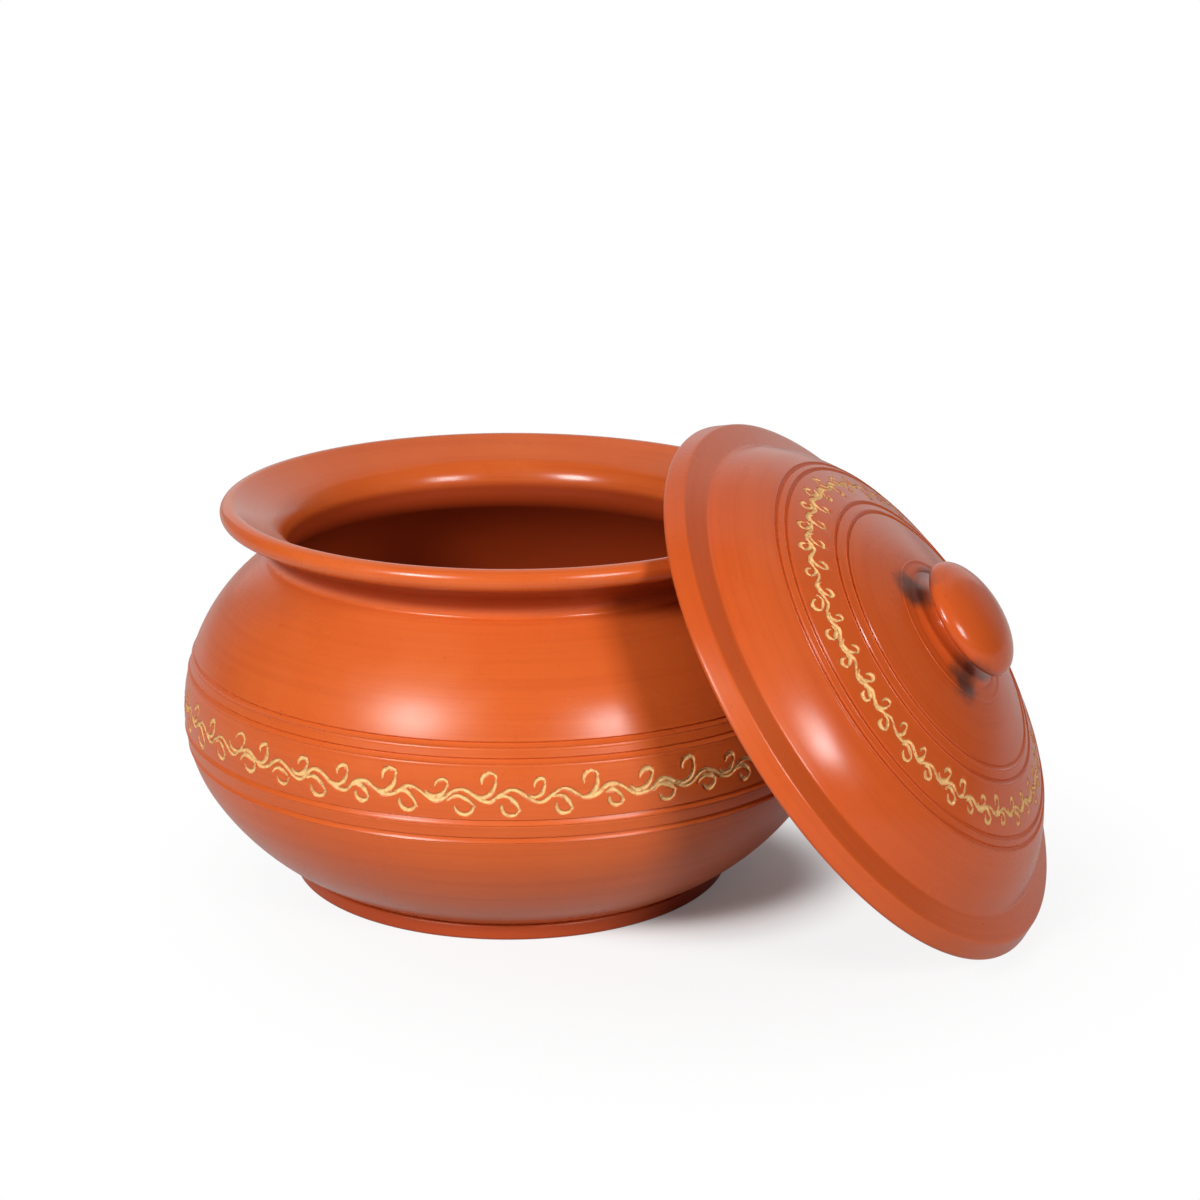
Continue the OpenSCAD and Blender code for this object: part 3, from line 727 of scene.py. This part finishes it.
brim_foot_c = np.array([BRIM_R - BRIM_EDGE, BRIM_EDGE])
brim_top_c = np.array([BRIM_R - BRIM_EDGE, BRIM_T - BRIM_EDGE]) + BRIM_LEAN * brim_dir
edge_slope = degrees(atan2(brim_foot_c[0] - brim_top_c[0], brim_top_c[1] - brim_foot_c[1]))
brim_start = brim_top_c + BRIM_EDGE * brim_up


def brim_fillet():
    """Centre of the fillet that rests on the brim and against the round of the dome."""
    reach = turn_round + CREASE_FILLET
    start = brim_start + CREASE_FILLET * brim_up - turn_c
    along = start @ brim_dir
    return turn_c + start + brim_dir * (-along - sqrt(along ** 2 - start @ start + reach ** 2))


lid_fillet_c = brim_fillet()
lid_fillet_turn = degrees(atan2(*(lid_fillet_c - turn_c)[::-1]))
knob_seat = crown_c[1] + sqrt(CROWN_ROUND ** 2 - KNOB_BASE_R ** 2)
knob_seat_angle = degrees(acos(KNOB_BASE_R / CROWN_ROUND))
bore_r = TENON_R + LUTE_GAP
bore_angle = degrees(acos(bore_r / (CROWN_ROUND - LID_WALL)))
bore_top = crown_c + (CROWN_ROUND - LID_WALL) * turn(bore_angle)
inner_end = turn_c + (turn_round - LID_WALL) * turn(crease_angle)
slot_in, slot_out = RING_MID - RING_ROLL - LUTE_GAP, RING_MID + RING_ROLL + LUTE_GAP
land_r = (inner_end[0] + RING_MID - RING_ROLL) / 2
lid_outline = Template([
    straight((land_r, 0), (slot_in, 0), 2),
    straight((slot_in, 0), (slot_in, RING_ROOT), 3),
    straight((slot_in, RING_ROOT), (slot_out, RING_ROOT), 6),
    straight((slot_out, RING_ROOT), (slot_out, 0), 3),
    straight((slot_out, 0), (BRIM_R - BRIM_EDGE, 0), 2),
    arc(brim_foot_c, BRIM_EDGE, 270, 360 + edge_slope, 0.4),
    straight(brim_foot_c + BRIM_EDGE * turn(edge_slope), brim_top_c + BRIM_EDGE * turn(edge_slope), 1),
    arc(brim_top_c, BRIM_EDGE, edge_slope, 90 - brim_slope, 0.4),
    straight(brim_start, lid_fillet_c - CREASE_FILLET * brim_up, 2),
    arc(lid_fillet_c, CREASE_FILLET, 270 - brim_slope, lid_fillet_turn + 180, 0.3),
    arc(turn_c, turn_round, lid_fillet_turn, wall_angle, 2),
    arc(crown_c, CROWN_ROUND, turn_angle, knob_seat_angle, 3),
    straight((KNOB_BASE_R, knob_seat), (bore_r, knob_seat), 8),
    straight((bore_r, knob_seat), bore_top, 8),
    arc(crown_c, CROWN_ROUND - LID_WALL, bore_angle, turn_angle, 6),
    arc(turn_c, turn_round - LID_WALL, wall_angle, crease_angle, 3),
    straight(inner_end, (land_r, 0), 2),
], closed=True)
LID_OUTSIDE = (11, 12)
LID_SEGMENTS, LID_BAND_STEP, LID_BAND_FINER = 320, 0.33, 4
LID_GROOVE_RADII = (78.2, 74.8, 56.3, 51.5)
LID_GROOVE_DEPTH, LID_GROOVE_W = 0.6, 1.3
lid_grooves = [(lid_outline.along_at(LID_OUTSIDE, 0, r), LID_GROOVE_DEPTH, LID_GROOVE_W)
               for r in LID_GROOVE_RADII]
LID_VINE_R, LID_VINE_REACH = 67.0, 6.0
lid_vine = lid_outline.along_at(LID_OUTSIDE, 0, LID_VINE_R)
lid_band = (lid_vine - LID_VINE_REACH, lid_vine + LID_VINE_REACH, LID_BAND_STEP, LID_BAND_FINER)
lid = turned("lid_dome_and_brim", lid_outline, LID_SEGMENTS, lid_grooves, lid_band)
lid_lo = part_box("lid_dome")[0]
reach_x = lid_outline.points @ np.array([-cos(LEAN_TILT), sin(LEAN_TILT)])
reach_z = lid_outline.points @ np.array([-sin(LEAN_TILT), cos(LEAN_TILT)])
LEANED = (Matrix.Translation((lid_lo.x - min(reach_x) * MM, 0, lid_lo.z - min(reach_z) * MM))
          @ Matrix.Rotation(LEAN_TILT, 4, "Y"))
SMOKE_REACH, SMOKE_RISE, SMOKE_SIZE, SMOKE_DARK = 23.6, 1.0, 11.5 * MM, 0.85
SMOKE_TURNS = (-151.0, -47.0)
smoke_spots = [Vector((*(SMOKE_REACH * turn(a)), knob_seat + SMOKE_RISE)) * MM for a in SMOKE_TURNS]
smoke_marks = [(LEANED @ spot, SMOKE_SIZE, SMOKE_DARK) for spot in smoke_spots]
# The lid and knob clay is redder, and also darkened as a whole with painted shade
LID_TONE_AND_PAINTED_SHADE = (0.89, 0.8, 0.8)
lid_clay = burnished_clay("burnished_lid", carved=True, smoke=smoke_marks, shade=LID_TONE_AND_PAINTED_SHADE, roughness=0.25)
cut_vine(lid, Waves=36, Seed=8, First_valley=radians(-87.7), Band_radius=LID_VINE_R * MM,
         Band_middle=lid_vine * MM, Stem_rise=1.25 * MM, Hook_length=0.62, Hook_height=0.78,
         Half_stroke=0.68 * MM, Depth=0.6 * MM, Burr=0.14 * MM, Material=lid_clay)
lid.data.transform(LEANED)
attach(lid, "lid")
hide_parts("lid_dome")
for stroke_shape in (UPPER_HOOK, LOWER_HOOK):
    bpy.data.objects.remove(stroke_shape)


# Seat ring
# A thin roll of clay is set in a groove under the brim, and keeps the lid centred in the mouth.
# It is left as fired, without slip, because it rubs on the rim.
RING_DROP = 3.0
ring_c = np.array([RING_MID, RING_ROLL - RING_DROP])
ring_outline = Template([
    arc(ring_c, RING_ROLL, 180, 360, 0.5),
    straight(ring_c + (RING_ROLL, 0), (RING_MID + RING_ROLL, RING_ROOT), 3),
    straight((RING_MID + RING_ROLL, RING_ROOT), (RING_MID - RING_ROLL, RING_ROOT), 5),
    straight((RING_MID - RING_ROLL, RING_ROOT), ring_c - (RING_ROLL, 0), 3),
], closed=True)
ring = turned("lid_seat_ring", ring_outline, LID_SEGMENTS)
ring.data.materials.append(burnished_clay("unslipped_ring", roughness=0.6, bump=0.15))
ring.data.transform(LEANED)
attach(ring, "lid")
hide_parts("seat_ring")


# Knob
# The mushroom knob is thrown off the hump, its tenon is pushed through the dome and luted, and the
# joint is smoothed with a wet finger. Smoke from the fire has caught round its stem.
KNOB_R, KNOB_RISE, KNOB_UNDER, KNOB_LIFT = 23.0, 9.4, 4.6, 7.8
WAIST_R, TENON_NUB, TENON_EDGE, KNOB_SEGMENTS = 16.5, 2.0, 1.0, 192
knob_c = np.array([0.0, knob_seat + KNOB_LIFT])
under_angle = degrees(acos(WAIST_R / KNOB_R))
waist_z = knob_c[1] - KNOB_UNDER * sin(radians(under_angle))
tenon_end = CROWN_H - LID_WALL - TENON_NUB
SPREAD_R, SPREAD_EDGE, SPREAD_GAP = 29.0, 0.25, 0.04
spread_angle = degrees(acos(SPREAD_R / CROWN_ROUND))
spread_c = crown_c + (CROWN_ROUND + SPREAD_GAP) * turn(spread_angle) - (SPREAD_EDGE, 0)
spread_top = spread_c + (0, SPREAD_EDGE)
knob_outline = Template([
    straight((0, tenon_end), (TENON_R - TENON_EDGE, tenon_end), 4),
    arc((TENON_R - TENON_EDGE, tenon_end + TENON_EDGE), TENON_EDGE, 270, 360, 0.4),
    straight((TENON_R, tenon_end + TENON_EDGE), (TENON_R, knob_seat), 4),
    straight((TENON_R, knob_seat), (KNOB_BASE_R, knob_seat), 5),
    arc(crown_c, CROWN_ROUND + SPREAD_GAP, knob_seat_angle, spread_angle, 2),
    arc(spread_c, SPREAD_EDGE, 0, 90, 0.15),
    oval((spread_top[0], waist_z), spread_top[0] - WAIST_R, waist_z - spread_top[1], 270, 180, 0.4),
    oval(knob_c, KNOB_R, KNOB_UNDER, -under_angle, 0, 0.6),
    oval(knob_c, KNOB_R, KNOB_RISE, 0, 90, 0.8),
])
knob = turned("lid_knob", knob_outline, KNOB_SEGMENTS)
knob_clay = burnished_clay("burnished_knob", smoke=smoke_marks, shade=LID_TONE_AND_PAINTED_SHADE, roughness=0.23, bump=0.03)
knob.data.materials.append(knob_clay)
knob.data.transform(LEANED)
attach(knob, "lid")
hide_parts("knob")


# Camera
# It stands where the photograph was taken from, a little above the rim and turned towards the lid.
# Its lens takes in the bowl and the leaning lid with the photograph's margins.
CAMERA_PLACE = Vector((0.3798, -0.8653, 0.3813))
CAMERA_TURN, CAMERA_DIP, CAMERA_ROLL = radians(21.64), radians(16.36), radians(0.40)
LENS, SENSOR_W = 77.4, 36.0
camera = bpy.data.objects.new("camera", bpy.data.cameras.new("camera"))
camera.data.sensor_width = SENSOR_W
camera.data.lens = LENS
bpy.context.scene.collection.objects.link(camera)
camera.matrix_world = (Matrix.Translation(CAMERA_PLACE)
                       @ Matrix.Rotation(CAMERA_TURN, 4, "Z")
                       @ Matrix.Rotation(pi / 2 - CAMERA_DIP, 4, "X")
                       @ Matrix.Rotation(CAMERA_ROLL, 4, "Z"))
bpy.context.scene.camera = camera


# Studio
# A pale paper floor fades to white away from the object, in a dim room with a white backdrop.
# Two soft boxes stand in front, and a large one behind lights the back from above.
bpy.context.scene.view_settings.view_transform = "Standard"
view_right = Vector((cos(CAMERA_TURN), sin(CAMERA_TURN), 0))
view_ahead = Vector((-sin(CAMERA_TURN), cos(CAMERA_TURN), 0))
WHITE = (1, 1, 1, 1)
FLOOR_HALF = 4.0
FLOOR_PALE, FLOOR_BOUNCE, FLOOR_SHEEN = (0.82, 0.8, 0.79, 1), (0.42, 0.42, 0.42, 1), 0.45
PAPER_ROUGH, PAPER_SPECULAR = 0.9, 0.1
# Two distances from a point under the bowl, and how much each fade adds at them
FADE_CENTRE = (0.065, 0.01, 0)
FADE_NEAR, FADE_FAR = (0.042, 0.082, 0.1, 0.8), (0.082, 0.22, 0.0, 0.2)
floor_mesh = bpy.data.meshes.new("floor")
corners = [(x * FLOOR_HALF, y * FLOOR_HALF, 0) for x, y in ((-1, -1), (1, -1), (1, 1), (-1, 1))]
floor_mesh.from_pydata(corners, [], [(0, 1, 2, 3)])
floor = bpy.data.objects.new("floor", floor_mesh)
bpy.context.scene.collection.objects.link(floor)
paper = bpy.data.materials.new("white_paper")
paper.use_nodes = True
tree = paper.node_tree
sheet = tree.nodes["Principled BSDF"]
sheet.inputs["Roughness"].default_value = PAPER_ROUGH
sheet.inputs["Specular IOR Level"].default_value = PAPER_SPECULAR
seen = place(tree, "ShaderNodeLightPath").outputs
tree.links.new(mixed(tree, seen["Is Camera Ray"], FLOOR_BOUNCE, FLOOR_PALE), sheet.inputs["Base Color"])
shown = maths(tree, "MAXIMUM", seen["Is Camera Ray"], seen["Is Transmission Ray"])
shown = maths(tree, "MAXIMUM", shown, maths(tree, "MULTIPLY", seen["Is Glossy Ray"], FLOOR_SHEEN))
spot = place(tree, "ShaderNodeTexCoord").outputs["Object"]
away = distance(tree, spot, FADE_CENTRE)
white = maths(tree, "ADD", sloped(tree, away, *FADE_NEAR), sloped(tree, away, *FADE_FAR))
fade = maths(tree, "MULTIPLY", shown, white)
glow = place(tree, "ShaderNodeEmission", {"Color": WHITE, "Strength": 1.0})
blend = place(tree, "ShaderNodeMixShader", {0: fade, 1: sheet.outputs[0], 2: glow.outputs[0]})
tree.links.new(blend.outputs[0], tree.nodes["Material Output"].inputs["Surface"])
floor_mesh.materials.append(paper)

ROOM_LIGHT, BACKDROP_LIGHT = 0.035, 0.36
BACKDROP_SIDES, BACKDROP_TOP = (0.25, 0.8), (0.85, 0.35)
world = bpy.data.worlds.new("white_room")
bpy.context.scene.world = world
world.use_nodes = True
tree = world.node_tree
room = tree.nodes["Background"]
room.inputs["Color"].default_value = WHITE
direction = place(tree, "ShaderNodeTexCoord").outputs["Generated"]
ahead = place(tree, "ShaderNodeVectorMath", {0: direction, 1: view_ahead},
              operation="DOT_PRODUCT").outputs["Value"]
rise = place(tree, "ShaderNodeSeparateXYZ", {0: direction}).outputs[2]
backdrop = maths(tree, "MULTIPLY", sloped(tree, ahead, *BACKDROP_SIDES), sloped(tree, rise, *BACKDROP_TOP))
lit = sloped(tree, backdrop, 0.0, 1.0, ROOM_LIGHT, BACKDROP_LIGHT)
seen = place(tree, "ShaderNodeLightPath").outputs
shown = maths(tree, "MAXIMUM", seen["Is Camera Ray"], seen["Is Transmission Ray"])
tree.links.new(maths(tree, "MAXIMUM", shown, lit), room.inputs["Strength"])

LAMP_REACH, LAMP_AIM = 1.6, Vector((0.05, 0, 0.08))


def soft_box(name, bearing, rise, size, power):
    """A square soft box, turned from the camera's side by a bearing, raised, and facing the object."""
    lamp = bpy.data.lights.new(name, "AREA")
    lamp.size, lamp.energy = size, power
    box = bpy.data.objects.new(name, lamp)
    level = view_right * sin(radians(bearing)) - view_ahead * cos(radians(bearing))
    away = level * cos(radians(rise)) + Vector((0, 0, sin(radians(rise))))
    facing = away.to_track_quat("Z", "Y").to_matrix().to_4x4()
    box.matrix_world = Matrix.Translation(LAMP_AIM + away * LAMP_REACH) @ facing
    bpy.context.scene.collection.objects.link(box)


soft_box("left_soft_box", bearing=-36, rise=29, size=0.4, power=21.3)
soft_box("right_soft_box", bearing=36.5, rise=25.5, size=0.4, power=13.9)
soft_box("back_soft_box", bearing=180, rise=42, size=2.5, power=12)
